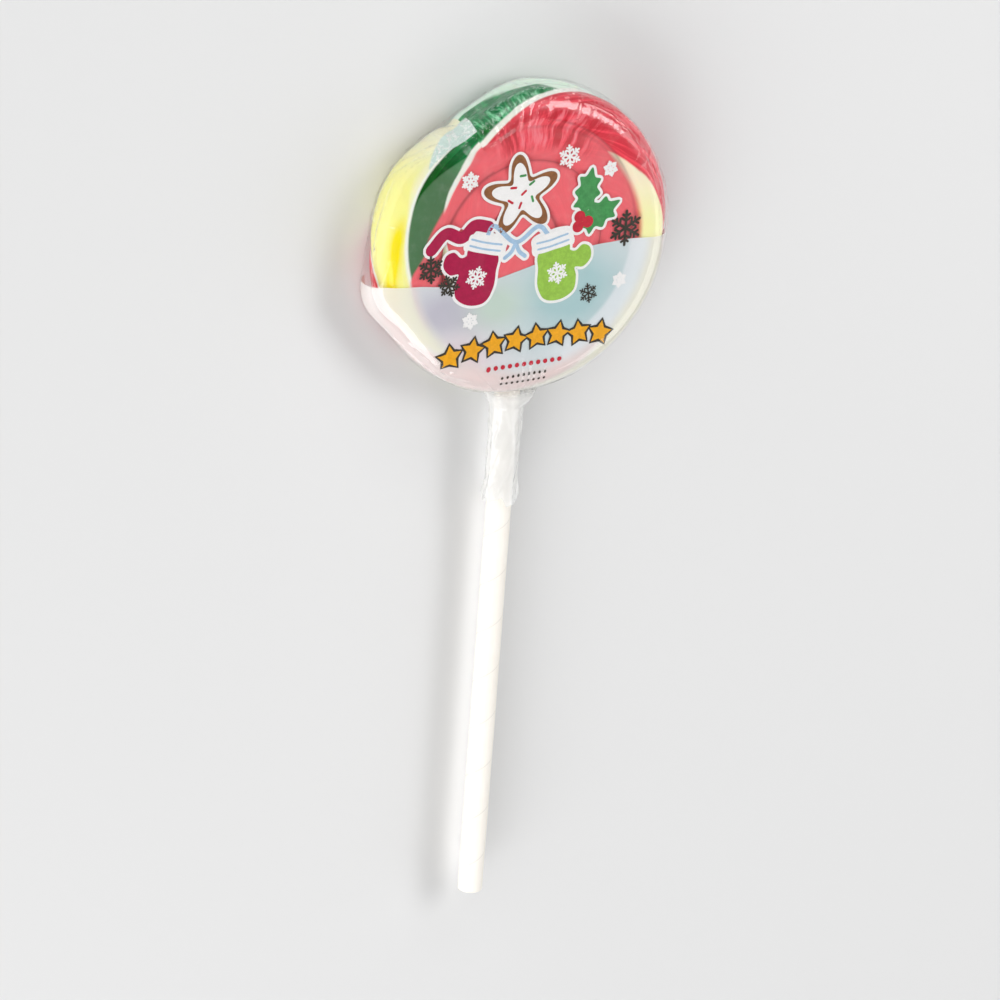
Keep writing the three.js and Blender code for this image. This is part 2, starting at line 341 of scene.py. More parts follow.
def head_skin(grid, grow, relief, back_relief, loose=0.0):
    """Points of the head's skin in mm, grown outward by grow, which may vary, with the film's loose fold."""
    share, lift, side, angle = grid
    grow = grow + np.zeros((share.shape[0], angle.shape[1]))
    face = ~np.isnan(share)[:, 0]
    radius, height = np.zeros_like(grow), np.zeros_like(grow)
    radius[face] = (outline_radius(angle) - RIM_REACH) * share[face]
    height[face] = np.where(
        side[face] > 0,
        face_height(angle, radius[face], grow[face], relief, 1),
        face_height(angle, radius[face], grow[face], back_relief, -1),
    )
    radius[~face], height[~face] = rim_skin(angle, lift[~face], grow[~face], relief, back_relief, loose)
    return around_axis(angle, radius, height)


def front_point(angle, distance, grow):
    """Points of the film's inner side, by angle and distance along the profile from the rim's middle."""
    radius = outline_radius(angle) - RIM_REACH - (distance - RIM_ARC)
    lift = 90 * np.clip(distance / RIM_ARC, -1, 1)
    rim_radius, rim_height = rim_skin(angle, lift, grow, FILM_RELIEF, 0, LOOSE_SIZE)
    on_face = distance > RIM_ARC
    height = np.where(on_face, face_height(angle, np.maximum(radius, 0), grow, FILM_RELIEF), rim_height)
    return around_axis(angle, np.where(on_face, radius, rim_radius), height)


# ---- making meshes
def add_object(name, data):
    obj = bpy.data.objects.new(name, data)
    bpy.context.scene.collection.objects.link(obj)
    return obj


def add_piece(name, points, faces, material):
    """A smooth-shaded mesh, from points in mm."""
    mesh = bpy.data.meshes.new(name)
    mesh.from_pydata((np.asarray(points) * MM).tolist(), [], [tuple(f) for f in faces])
    mesh.validate()
    mesh.polygons.foreach_set("use_smooth", [True] * len(mesh.polygons))
    mesh.update()
    mesh.materials.append(material)
    obj = add_object(name, mesh)
    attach(obj, "root")
    return obj


def grid_faces(rows, columns, closed=True):
    """Quads between rows of points that run round, outward for rows from front to back over the rim."""
    i = np.arange(columns if closed else columns - 1)
    j = (i + 1) % columns
    quads = np.stack([i, columns + i, columns + j, j], axis=1)
    return np.concatenate([quads + columns * row for row in range(rows - 1)])


def fan(middle, ring, flip=False):
    ring = np.asarray(ring)
    following = np.roll(ring, -1)
    return [(middle, b, a) if flip else (middle, a, b) for a, b in zip(ring, following)]


def caps(top, bottom, rows, columns):
    """Triangles from a middle point to the first row of a grid, and from another to the last."""
    ring = np.arange(columns)
    return fan(top, ring) + fan(bottom, (rows - 1) * columns + ring, flip=True)


def used_only(count, faces):
    """Which of count points the faces use, and the faces with those points numbered anew."""
    used = np.unique(np.concatenate(faces))
    renumber = np.full(count, -1)
    renumber[used] = np.arange(len(used))
    return used, [tuple(renumber[list(f)]) for f in faces]


# ---- materials
def new_material(name):
    material = bpy.data.materials.new(name)
    material.use_nodes = True
    material.node_tree.nodes.clear()
    return material, material.node_tree


def place_fields(tree):
    """x, y and z in mm over the object, z from the head's middle plane."""
    where = tree.nodes.new("ShaderNodeTexCoord").outputs["Object"]
    x, y, z = (Field(part) * (1 / MM) for part in add_node(tree, "SeparateXYZ", {0: where}).outputs)
    return x, y, z - MIDDLE


def vector(x, y, z):
    return add_node(x.tree, "CombineXYZ", {0: x, 1: y, 2: z})


def noise(where, scale, detail, roughness):
    """Smooth noise over three fields, from 0 to 1."""
    inputs = {"Vector": vector(*where), "Scale": scale, "Detail": detail, "Roughness": roughness}
    return Field(add_node(where[0].tree, "TexNoise", inputs).outputs[0])


def blend(a, b, share):
    """Colour sockets or plain colours mixed by a field."""
    a, b = ((*c, 1.0) if isinstance(c, tuple) else c for c in (a, b))
    return add_node(share.tree, "Mix", {0: share, 6: a, 7: b}, data_type="RGBA").outputs[2]


def shade(colour, factor):
    """A colour times a field."""
    inputs = {0: colour, "Scale": factor}
    return add_node(factor.tree, "VectorMath", inputs, operation="SCALE").outputs[0]


def bump(height, strength, distance):
    inputs = {"Height": height, "Strength": strength, "Distance": distance * MM}
    return add_node(height.tree, "Bump", inputs)


def principled(tree, colour, roughness, specular, others=None):
    """Ends a material's nodes with one Principled shader."""
    inputs = {"Base Color": colour, "Roughness": roughness, "Specular IOR Level": specular, **(others or {})}
    shader = add_node(tree, "BsdfPrincipled", inputs)
    add_node(tree, "OutputMaterial", {"Surface": shader})


def candy_material():
    """Stripes that follow the strands of the coiled rope, worked out from where a point is on the head."""
    material, tree = new_material("candy_stripes")
    here = x, y, z = place_fields(tree)
    wobble = noise(here, 0.16, 3, 0.5) - 0.5
    radius = length(x, y)
    angle = arctan2(y, x) * (180 / math.pi)
    turn = turn_of(angle)
    from_end = from_end_of(turn)
    flat = outline_radius(angle) - RIM_REACH
    side = above(z, 0.0) * 2 - 1
    u = larger((radius - flat) / RIM_REACH, 0.0) ** (1 / RIM_POWER)
    v = (size_of(z) / HALF) ** (1 / RIM_POWER)
    inward = side * mix(RIM_ARC + flat - radius, arctan2(v, u) * (2 / math.pi) * RIM_ARC, above(radius, flat))
    reach = RIM_ARC + flat - groove_radius(turn)
    around = smaller(larger(180 * inward / reach, -180.0), 180.0)
    wavy_turn = turn + wobble * 4

    # where each strand begins on the outer turn of the rope, and how far past its edge a point lies
    distances = [edge_distance(edge, wavy_turn, around, radius, reach) for edge in EDGES]
    past = wavy_turn * 0.3
    for i, distance in enumerate(distances):
        past = mix(past, distance + STRAND_STEP * i, above(distance, 0.0))

    # the same on the inner turns
    g0, g1, g2, g3 = (larger(groove_radius(turn + 360 * lap), 0.0) for lap in range(4))
    lap2, lap3 = above(g1, radius), above(g2, radius)
    outer = mix(mix(g0, g1, lap2), g2, lap3)
    inner = mix(mix(g1, g2, lap2), g3, lap3)
    share = smaller(larger((outer - radius) / larger(outer - inner, 0.2), 0.0), 1.0)
    total = wavy_turn + 360 * (1 + lap2 + lap3) + 150 * above(0.0, z)
    shifted = total - INNER_SHIFT * share
    per_degree = larger(radius, 1.5) * (math.pi / 180) * 0.85
    inner_distances = [(shifted - start) * per_degree for start, _, _ in INNER_EDGES]
    inner_past = (shifted - 360) * per_degree
    for i, distance in enumerate(inner_distances):
        inner_past = mix(inner_past, distance + STRAND_STEP * i + INNER_STEP, above(distance, 0.0))
    past = mix(past, inner_past, above(g0, radius))

    # the milky, matt zone (partly a painted reflection), silky streaks along the strands and finer ones
    # across them (partly painted glints, highlight and shade), and clouds of bubbles
    off_x, off_y = x - PRESSED_AT[0], y - PRESSED_AT[1]
    from_pressed = length(off_x, off_y) + (HEAD_RADIUS - outline_radius(angle)) - PRESSED_RADIUS
    clear = smooth(from_pressed, -0.15, 0.25)
    streak = noise((past * 1.3, around * STREAK_STRETCH, radius * 0.05), 1.0, 4, 0.62)
    hair = noise((angle * 0.30 + radius * 0.16, radius * 0.12, 3.0), 1.0, 3, 0.6)
    haired = window(from_end, 2, 14, 48, 72) * smooth(radius, 16.0, 18.5) * smooth(inward, 5.6, 7.0)
    cloud = noise(here, 0.55, 4, 0.6)

    # colours of the strands
    top = smooth(from_end, -24, 4)
    green = blend(COLOURS["green"], TOP_GREEN, top)
    # light mint lines on the upper green: partly the candy's silky streaks, partly painted glints of the
    # film's folds over them
    mint = smooth(streak, 0.53, 0.66) * window(from_end, -8, 2, 40, 60)
    green = blend(green, MINT_AND_GLINT, 0.85 * mint * smooth(inward, 0.5, 3.0))
    swirl = noise((past * 0.42, around * STREAK_STRETCH, radius * 0.1 + 5.0), 1.0, 3, 0.6)
    swirl = (1 - smooth(size_of(swirl - 0.5), 0.012, 0.04)) * window(from_end, -3, 3, 30, 45)
    green = blend(green, MINT_AND_GLINT, 0.8 * swirl * smooth(inward, 0.3, 1.5))
    dark_streak = smooth(0.60 - streak, 0.0, 0.16)
    along, across = (from_end - 4.5) / 5.0, (inward - 5.0) / 0.85
    green = blend(green, DEEP_GREEN, bell(length(along, across)))
    outside = bell((inward - 1.6) / 1.0) * smooth(from_end, 4, 12)
    green = shade(green, (1.0 - 0.45 * dark_streak * clear) * (1 - 0.35 * outside))
    red = blend(COLOURS["red"], DARK_RED, dark_streak * mix(0.12, 0.6, clear))
    # fine lines across the red near the top: painted highlights in pink and painted shade in dark red along
    # the candy's striations
    red = blend(red, DARK_RED, 0.85 * haired * smooth(0.54 - hair, 0.0, 0.10))
    red = blend(red, PINK_HIGHLIGHT, 0.7 * haired * smooth(hair, 0.52, 0.64))
    to_green = 0.7 + 2.3 * smooth(turn, 314, 340)
    pale = smooth(distances[GREEN_AFTER_YELLOW] / to_green, -1.0, -0.15)
    # the yellow pales toward cream beside the green edge, and at the band's upper end, where the paleness is
    # a painted reflection
    yellow = blend(COLOURS["yellow"], PALE_CREAM_AND_SHEEN, larger(0.9 * pale, smooth(turn, 325, 350)))
    streak_middle = 63.0 - 11 * (1 - smooth(turn, 288, 304))
    streak_of_yellow = bell((around + 10 * wobble - streak_middle) / 14) * (1 - smooth(turn, 306, 320))
    yellow = blend(yellow, DEEP_YELLOW, smaller(streak_of_yellow * 1.4, 1.0))
    cream = blend(PEACH, COLOURS["cream"], smooth(turn, 90, 118))
    strands = {**COLOURS, "green": green, "red": red, "yellow": yellow, "cream": cream}

    # the outer turn of the rope
    pale_to = -0.35 + 1.9 * (larger(turn - 6, 0.0) / 30) ** 2.0
    colour = blend(MINT_WHITE, green, smooth(inward - pale_to + 0.5 * wobble, -0.25, 0.2))
    thins = [1.0] * (len(EDGE_THREADS) - 1) + [smooth(turn, 314, 342)]
    for distance, name, width, thin in zip(distances[1:], EDGE_COLOURS, EDGE_THREADS, thins):
        colour = blend(colour, strands[name], smooth(distance, -0.2, 0.2))
        if width:
            thread = smooth(width * thin * (0.5 + 0.4 * wobble) - size_of(distance), -0.2, 0.2)
            colour = blend(colour, COLOURS["white"], thread)

    # where the last green strand dives under the red one at its inner side
    red_from = 22.9 - 2.7 * smooth(turn, 289, 303) - 1.3 * smooth(turn, 303, 326)
    under = smooth(red_from - radius, -0.35, 0.35) * window(turn, 262, 275, 322, 330)
    colour = blend(colour, red, under * above(z, 0.0))

    # its cut end, a crumpled white triangle, whose light crumple lines are painted highlights
    low = 4.25 - 0.35 * smooth(-from_end, 4, 12) + 0.9 * smooth(-from_end, 12, 34)
    high = 0.05 + 0.0078 * (smaller(from_end, 0.0) * smaller(from_end, 0.0))
    stub = smooth(inward - high, -0.1, 0.35) * smooth(low - inward, -0.12, 0.12) * above(from_end, -30.0)
    stub = stub * (1 - smooth(from_end + 0.26 * inward, 2.5, 3.0))
    lines = noise((x * 0.9 + y * 0.5, y * 0.9 - x * 0.9, z), 0.55, 4, 0.6)
    lines = 1 - smooth(size_of(lines - 0.5), 0.0, 0.05)
    crumpled = blend(STUB_SHADE, STUB_LIGHT, lines)
    colour = blend(colour, crumpled, stub)

    # the inner turns
    inner_colour = red
    for distance, (_, name, width) in zip(inner_distances, INNER_EDGES):
        inner_colour = blend(inner_colour, strands[name], smooth(distance, -0.16, 0.16))
        thread = smooth(width / 2 - size_of(distance), -0.14, 0.14)
        inner_colour = blend(inner_colour, COLOURS["white"], thread)
    crescent = window(turn, 62, 85, 185, 225)
    softness = 0.12 + 0.55 * crescent
    inside = smooth(g0 + crescent * smooth(turn, 75, 122) - radius, -softness, softness)
    colour = blend(colour, inner_colour, inside)
    colour = blend(colour, COLOURS["white"], smooth(cloud, 0.5, 0.85) * 0.05)
    # the pressed zone is paled toward a milky white: partly the matt candy, partly a painted reflection of
    # the light on the flat face
    colour = blend(colour, MILK_AND_REFLECTION, (1 - clear) * (0.10 + 0.07 * cloud) * (1 - 0.8 * haired))

    # painted shade in the grooves, and a painted shade line at the edge of the pressed zone
    groove = 0.0
    for edge_radius in (g0, g1, g2):
        groove = larger(groove, bell((radius - edge_radius) / 0.32))
    fainter = above(radius, g1) * (1 - smooth(turn, 200, 230))
    groove = groove * smooth(radius, 1.5, 5) * mix(1.0, 0.35, fainter)
    # painted shade along the pressed zone's edge at the upper right
    pressed_edge_shade = bell(from_pressed / 0.22) * window(turn, 30, 45, 80, 100)
    colour = shade(colour, (1 - 0.38 * groove) * (1 - 0.3 * pressed_edge_shade))

    pits = noise(here, 3.2, 3, 0.6)
    relief = streak * 0.7 + pits * 0.3 + hair * haired * 0.8 + lines * stub * 1.2
    principled(tree, colour, 0.14 + 0.16 * cloud + 0.32 * (1 - clear), 0.25, {
        "IOR": 1.5,
        "Subsurface Weight": 0.25,
        "Subsurface Radius": (1.0, 0.5, 0.35),
        "Subsurface Scale": 0.9 * MM,
        "Coat Weight": 0.35 * clear,
        "Coat Roughness": 0.12,
        "Normal": bump(relief, 0.5, 0.12),
    })
    return material


def film_material():
    """Clear film: a glossy reflection over whatever is under it, whiter where it is crumpled."""
    material, tree = new_material("clear_film")
    here = x, y, z = place_fields(tree)
    crumple = Field(add_node(tree, "Attribute", {}, attribute_name="crumple").outputs["Fac"])
    cells = {"Vector": vector(*here), "Scale": 0.42}
    creases = add_node(tree, "TexVoronoi", cells, feature="DISTANCE_TO_EDGE")
    ripple = noise(here, 0.5, 3, 0.55)
    creased = smooth(Field(creases.outputs["Distance"]), 0.0, 0.5)
    height = creased * crumple * 0.6 + ripple * (0.05 + 0.9 * crumple)
    normal = bump(height, 1.0, 0.35)

    facing = Field(add_node(tree, "LayerWeight", {"Blend": 0.5, "Normal": normal}).outputs["Facing"])
    fresnel = 0.04 + 0.96 * facing**5.0  # the same from both sides, as a thin film is
    glossy = {"Roughness": 0.1, "Color": (1, 1, 1, 1), "Normal": normal}
    gloss = add_node(tree, "BsdfGlossy", glossy)
    clear = add_node(tree, "BsdfTransparent", {"Color": (0.985, 0.99, 0.99, 1)})
    milk = add_node(tree, "BsdfDiffuse", {"Color": (0.95, 0.95, 0.94, 1)})
    on_stick = smooth(-y, 26.0, 28.5)
    haze = 0.008 + crumple * (0.09 + 0.12 * ripple) + on_stick * (0.40 + 0.35 * crumple)
    soft = add_node(tree, "MixShader", {0: haze, 1: clear, 2: milk})
    both = add_node(tree, "MixShader", {0: smaller(fresnel * 1.3, 1.0), 1: soft, 2: gloss})
    add_node(tree, "OutputMaterial", {"Surface": both})
    return material


def ink_material(name, colour, darkening):
    """Printing ink on the inner side of the film: even, with a slight grain."""
    material, tree = new_material(name)
    grain = noise(place_fields(tree), 1.4, 4, 0.7)
    darker = tuple(c * (1 - darkening) for c in colour)
    principled(tree, blend(darker, colour, smooth(grain, 0.3, 0.7)), 0.35 + 0.2 * grain, 0.3)
    return material


SNOW_TINTS = [  # linear colour, middle x and y, half widths
    ((0.45, 0.64, 0.66), 7.5, -8.5, 12.0, 9.0),
    ((0.58, 0.56, 0.64), -15.5, -10.5, 8.0, 4.5),
    ((0.60, 0.72, 0.64), -6.0, -10.0, 5.0, 4.0),
    ((0.85, 0.70, 0.74), -13.0, -19.5, 7.0, 4.5),
]


def snow_material():
    """The printed snow: a nearly opaque white with pale tints, more see-through over the rim, and painted
    lighter there, where the rim turns away from the lamps.
    """
    material, tree = new_material("ink_snow")
    here = x, y, z = place_fields(tree)
    cloud = noise(here, 0.12, 3, 0.5)
    colour = (0.76, 0.79, 0.81)
    for tint, at_x, at_y, wide, high in SNOW_TINTS:
        off_x, off_y = (x - at_x) / wide, (y - at_y) / high
        share = bell(length(off_x, off_y)) * (0.75 + 0.6 * cloud)
        colour = blend(colour, tint, smaller(share * 1.1, 1.0))
    radius = length(x, y)
    over_rim = smooth(radius, 21.0, 23.6)
    outer_ring = smooth(radius, 18.2, 19.2) * smooth(x, 2, 9)
    colour = blend(colour, (0.86, 0.88, 0.91), 0.7 * outer_ring)
    # painted light: over the rim the snow is made whiter, where the rim turns away from the lamps
    colour = blend(colour, (0.96, 0.94, 0.91), over_rim)
    principled(tree, colour, 0.45, 0.3, {"Alpha": 0.97 - 0.24 * over_rim - 0.06 * cloud})
    return material


SEAM_PITCH = 9.0
PAPER_LAYER = 0.32


def paper_material():
    """Rolled paper: a spiral seam, fine fibres along the roll, and a slight sheen of wax."""
    material, tree = new_material("rolled_paper")
    here = x, y, z = place_fields(tree)
    around = arctan2(z, x) * STICK_RADIUS
    fibre = noise((around * 3.0, y * 0.35, 0.0), 1.0, 4, 0.65)
    blotch = noise(here, 0.25, 3, 0.5)
    seam_place = wrapped(y + around * (SEAM_PITCH / (2 * math.pi * STICK_RADIUS)), SEAM_PITCH)
    seam = bell((seam_place - SEAM_PITCH / 2) / 0.09)
    on_end = smooth(STICK_TOP - STICK_LENGTH + 0.02 - y, -0.05, 0.0)
    layer_place = wrapped(length(x, z) + around * 0.03, PAPER_LAYER)
    layers = bell((layer_place - PAPER_LAYER / 2) / 0.06) * on_end
    patchy = smooth(fibre, 0.35, 0.75) * 0.5 + smooth(blotch, 0.4, 0.7) * 0.25
    colour = blend((0.98, 0.94, 0.87), (0.94, 0.87, 0.79), patchy)
    colour = shade(colour, (1 - 0.16 * seam) * (1 - 0.3 * layers))
    normal = bump(fibre * 0.5 - seam * 0.8 - layers * 0.8, 0.6, 0.06)
    principled(tree, colour, 0.42 + 0.2 * fibre, 0.35, {"Normal": normal})
    return material


# ---- candy
CANDY_GROW = GAP  # the real film touches the candy, so the candy fills the gap that the solids leave
FILM_GROW = 0.45
FILM_BACK_GROW = 0.57
FILM_RELIEF = 0.2
FILM_UNEVEN = 0.02
FILM_OFF_FLOOR = 0.01
CRUMPLED_FOLD, CRUMPLED_NECK = 0.2, 0.25  # the fold height at which the film is fully crumpled
INK_GROW = 0.32
INK_STEP = 0.02  # from one layer of ink to the next
CANDY_UNEVEN = 0.03


def waves(points, seed, count, shortest, longest):
    """Smooth unevenness, about -1 to 1, from a few plane waves."""
    random = np.random.default_rng(seed)
    total = 0
    for _ in range(count):
        direction = random.normal(size=3)
        direction /= np.linalg.norm(direction)
        length = random.uniform(shortest, longest)
        total = total + np.sin(points @ direction * (2 * math.pi / length) + random.uniform(0, 6.3))
    return total / math.sqrt(count)


def make_candy():
    grid = head_grid(around=600, face=62, rim=50, back=30)
    points = head_skin(grid, CANDY_GROW, 1, BACK_RELIEF)
    uneven = CANDY_UNEVEN * np.clip(waves(points, 3, 14, 3.5, 11), -2.5, 2.5)
    points = head_skin(grid, CANDY_GROW - 2.5 * CANDY_UNEVEN + uneven, 1, BACK_RELIEF)
    rows, columns = points.shape[:2]
    middles = [(0, 0, points[0, :, 2].mean()), (0, 0, points[-1, :, 2].mean())]
    last = rows * columns
    faces = [*grid_faces(rows, columns), *caps(last, last + 1, rows, columns)]
    everything = np.concatenate([points.reshape(-1, 3), middles])
    candy = add_piece("candy_head", everything, faces, candy_material())
    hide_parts("candy")


# ---- film
# Sharp folds across the rim: (seed, count, heights, widths, first reaches, last reaches, where, slant), where
# is the angle that they gather at and their spread, or None for all round
FOLDS = [
    (11, 22, (0.03, 0.10), (0.3, 0.8), (-9, 1), (1, 6), None, 1.1),
    (12, 12, (0.04, 0.12), (0.25, 0.6), (-3, 2), (3, 6), (100, 14), 1.1),
    (13, 36, (0.01, 0.03), (0.15, 0.35), (-4, 4), (4, 9), (92, 26), 1.1),
    (14, 16, (0.06, 0.16), (0.12, 0.3), (-4, 1), (1, 4), (127, 6), 5),
]


def folds(angle, distance, seed, count, heights, widths, first_reaches, last_reaches, where, slant):
    """How high the folds stand at each angle and distance from the rim's middle."""
    random = np.random.default_rng(seed)
    height = np.zeros(np.broadcast(angle, distance).shape)
    for _ in range(count):
        at = random.uniform(0, 360) if where is None else random.normal(*where)
        lean = random.normal(0, slant)
        wide, tall = random.uniform(*widths), random.uniform(*heights)
        start, end = random.uniform(*first_reaches), random.uniform(*last_reaches)
        off = (angle - at - lean * (distance - 4) + 180) % 360 - 180
        mm = np.abs(off) * (math.pi / 180) * HEAD_RADIUS
        along = window(distance, start - 3.0, start, end, end + 4.0)
        height = np.maximum(height, tall * np.exp(-((mm / wide) ** 1.25)) * along)
    return height


# Long creases along the rim: (first angle, last angle, distance from the rim's middle at each, height, width)
CREASES = [
    (-38, 64, 2.0, 3.2, 0.20, 0.22),
    (-20, 50, 4.6, 5.4, 0.10, 0.18),
    (8, 78, 6.2, 4.4, 0.12, 0.20),
    (66, 118, 3.4, 1.6, 0.16, 0.22),
    (205, 262, 1.0, 3.4, 0.26, 0.26),
    (214, 250, 3.0, 5.2, 0.14, 0.20),
    (150, 196, 0.4, 1.6, 0.16, 0.24),
    (276, 322, 3.4, 1.8, 0.16, 0.24),
]


def long_creases(angle, distance):
    height = np.zeros(np.broadcast(angle, distance).shape)
    for first, last, near_first, near_last, tall, wide in CREASES:
        share = ((angle - first) % 360) / (last - first)
        middle = near_first + (near_last - near_first) * share + 0.25 * np.sin(9 * share + tall * 40)
        along = window(share, 0.0, 0.2, 0.8, 1.0)
        height = np.maximum(height, tall * along * np.exp(-((np.abs(distance - middle) / wide) ** 1.3)))
    return height


NECK_Y = -30  # the place on the stick that the neck's folds run from, and their bearings up the face
NECK_BEARINGS = (-62, -47, -36, -25, -13, -5, 6, 15, 27, 39, 52, 66)


def neck_folds(points):
    """Folds that run from the stick into the lower part of the face."""
    random = np.random.default_rng(21)
    x, y = points[..., 0], points[..., 1] - NECK_Y
    far = length(x, y)
    bearing = np.degrees(np.arctan2(x, y))
    height = np.zeros_like(far)
    for at in NECK_BEARINGS:
        at = at + random.normal(0, 2)
        long = random.uniform(4, 10)
        tall = random.uniform(0.12, 0.3)
        wide = random.uniform(0.22, 0.4)
        mm = np.abs(bearing - at) * (math.pi / 180) * far
        fold = tall * np.exp(-((mm / wide) ** 1.3)) * np.exp(-((far / long) ** 2))
        height = np.maximum(height, fold)
    return height


# The skirt from its hem up: (y, half width, half height)
SKIRT_WIDTHS = [
    (-47.5, 2.95, 2.9), (-43.0, 2.7, 2.65), (-32.0, 2.8, 2.75), (-29.5, 3.1, 3.0), (-27.2, 4.1, 3.2),
]
SKIRT_TOP = -27.6
SKIRT_RINGS = 66
SKIRT_PLEATS = 15
# The opening in the head's film that the skirt starts from, in degrees to each side of the stick
PATCH_HALF_ANGLE = 7.8
PATCH_LIFT = 42


def skirt_rings(loop):
    """Rings from the edge of the opening in the head's film down the stick, with sharp pleats."""
    count = len(loop)
    random = np.random.default_rng(5)
    start = np.degrees(np.arctan2(loop[0, 2] - MIDDLE, loop[0, 0]))
    a = np.radians(start - 360 * np.arange(count) / count)
    ys, half_widths, half_heights = zip(*SKIRT_WIDTHS)
    hem = 0.5 * np.sin(3 * a + 1) + 0.35 * np.sin(7 * a) + 0.25 * np.sin(13 * a + 2)
    creases = np.sort(random.uniform(0, 2 * math.pi, SKIRT_PLEATS))
    tall = random.uniform(0.1, 0.3, SKIRT_PLEATS)
    wide = random.uniform(0.10, 0.2, SKIRT_PLEATS)
    wander = random.normal(0, 0.35, (SKIRT_PLEATS, 3))
    rings, crumple = [], []
    for k in range(1, SKIRT_RINGS + 1):
        share = k / SKIRT_RINGS
        y = SKIRT_TOP + (SKIRT_END - SKIRT_TOP) * share
        high, broad = np.interp(y, ys, half_heights), np.interp(y, ys, half_widths)
        pleat = np.zeros(count)
        for at, t, w, (w1, w2, w3) in zip(creases, tall, wide, wander):
            place = at + w1 * share + w2 * math.sin(5 * share + w3 * 9) * 0.6
            off = np.abs((a - place + math.pi) % (2 * math.pi) - math.pi)
            strength = t * (0.65 + 0.35 * math.sin(11 * share + 20 * w3))
            pleat = np.maximum(pleat, strength * np.exp(-((off / w) ** 1.2)))
        lumps = 0.07 * np.sin(4 * a + 9 * share) * math.sin(13 * share + 1)
        lumps = lumps + 0.05 * np.sin(9 * a - 21 * share)
        flare = 0.18 * smooth(share, 0.86, 1.0) * (1 + np.sin(5 * a + 0.6))
        grown = pleat * smooth(share, 0.0, 0.25) + lumps * smooth(share, 0.15, 0.4) + flare
        toward, down = smooth(k, 0.0, 9.0), smooth(k, 0.0, 6.0)
        rings.append(np.stack([
            mix(loop[:, 0] * (1 - 0.10 * down), (broad + grown) * np.cos(a), toward),
            mix(loop[:, 1] - 0.3 * k, y + hem * smooth(share, 0.5, 1.0), down),
            mix(loop[:, 2], MIDDLE + (high + grown) * np.sin(a), toward),
        ], axis=1))
        crumple.append(0.35 + 0.4 * np.clip(pleat / CRUMPLED_FOLD, 0, 1))
    return np.array(rings), np.array(crumple)


def make_film():
    grid = head_grid(around=600, face=50, rim=60, back=26)
    share, lift, side, angle = grid
    distance = head_distance(grid)
    rise = long_creases(angle, distance)
    for fold_set in FOLDS:
        rise = np.maximum(rise, folds(angle, distance, *fold_set))
    crumple = np.clip(rise / CRUMPLED_FOLD, 0, 1)
    base = np.where(side > 0, FILM_GROW, FILM_BACK_GROW)
    rough = head_skin(grid, base, FILM_RELIEF, 0)
    neck = neck_folds(rough)
    uneven = FILM_UNEVEN * (2 + np.clip(waves(rough, 8, 12, 5, 14), -2, 2)) * (side > 0)
    on_back = np.isfinite(share) & (side < 0)
    rise = np.where(on_back, 0, rise + neck) + np.where(on_back, 0, uneven)
    crumple = np.maximum(crumple, np.clip(neck / CRUMPLED_NECK, 0, 1))
    points = head_skin(grid, base + rise, FILM_RELIEF, 0, LOOSE_SIZE)
    points[..., 2] = np.maximum(points[..., 2], FILM_OFF_FLOOR)

    rows, columns = points.shape[:2]
    lifts = np.where(np.isfinite(lift[:, 0]), lift[:, 0], side[:, 0] * 90)
    inside_rows = np.where(np.abs(lifts) < PATCH_LIFT)[0]
    s0, s1 = inside_rows[0] - 1, inside_rows[-1] + 1
    inside_columns = np.where(np.abs(angle[0] - 270) < PATCH_HALF_ANGLE)[0]
    i0, i1 = inside_columns[0] - 1, inside_columns[-1] + 1
    loop_index = [(s0, i) for i in range(i0, i1)]
    loop_index += [(s, i1) for s in range(s0, s1)]
    loop_index += [(s1, i) for i in range(i1, i0, -1)]
    loop_index += [(s, i0) for s in range(s1, s0, -1)]
    loop_index = np.array([s * columns + i for s, i in loop_index])
    flat_points = points.reshape(-1, 3)
    rings, ring_crumple = skirt_rings(flat_points[loop_index])

    quads = grid_faces(rows, columns).reshape(rows - 1, columns, 4)
    keep = np.ones((rows - 1, columns), dtype=bool)
    keep[s0:s1, i0:i1] = False
    top_middle = len(flat_points)
    faces = [*quads[keep], *caps(top_middle, top_middle + 1, rows, columns)]
    per_ring = np.arange(len(loop_index))
    following = np.roll(per_ring, -1)
    ring_ids = [loop_index] + [top_middle + 2 + k * len(loop_index) + per_ring for k in range(len(rings))]
    for upper, lower in zip(ring_ids, ring_ids[1:]):
        faces += [*np.stack([upper[following], upper, lower, lower[following]], axis=1)]
    middles = [(0, 0, MIDDLE + HALF + FILM_GROW), (0, 0, MIDDLE - HALF - FILM_BACK_GROW)]
    everything = np.concatenate([flat_points, middles, rings.reshape(-1, 3)])
    crumples = np.concatenate([crumple.reshape(-1), [0, 0], ring_crumple.reshape(-1)])
    used, faces = used_only(len(everything), faces)
    film = add_piece("film", everything[used], faces, film_material())
    layer = film.data.attributes.new("crumple", "FLOAT", "POINT")
    layer.data.foreach_set("value", crumples[used].astype(np.float32))
    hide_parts("wrapper")


# ---- stick
STICK_SIDES = 72
STICK_UNEVEN = 0.012
# Its softened end: (radius, distance from the end)
STICK_PROFILE = [(0.35, 0.10), (1.1, 0.03), (1.7, 0.0), (2.0, 0.03), (2.13, 0.13), (STICK_RADIUS, 0.32)]


